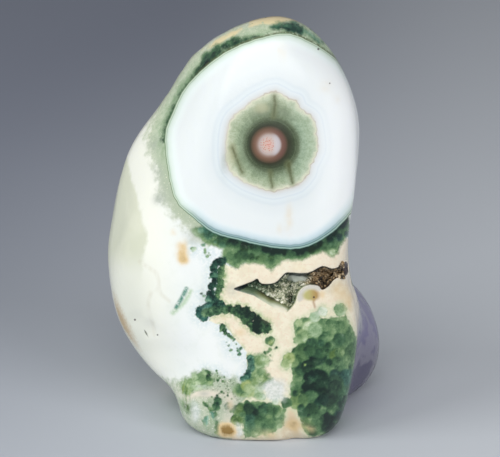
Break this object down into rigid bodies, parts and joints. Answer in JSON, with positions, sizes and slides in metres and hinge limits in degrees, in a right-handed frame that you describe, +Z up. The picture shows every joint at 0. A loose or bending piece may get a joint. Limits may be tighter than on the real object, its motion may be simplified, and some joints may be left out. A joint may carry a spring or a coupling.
{
  "type": "ocean jasper",
  "caption": "Polished freeform stone that leans back on a small sawn foot, with an orb on its face and an open druse pocket at its side.",
  "frame": {"origin": "centre of the bounding box, on the floor that the stone stands on", "axes": "+Z is up, and the polished face with the orb looks toward -Y and leans back by 20 degrees"},
  "size_m": [0.04, 0.0328, 0.0568],
  "materials": {
    "stone": "high polish, partly translucent",
    "druse": "sparkling quartz crystals"
  },
  "bodies": {
    "root": {"stone": "stone", "druse_crust": "druse"}
  },
  "joints": []
}
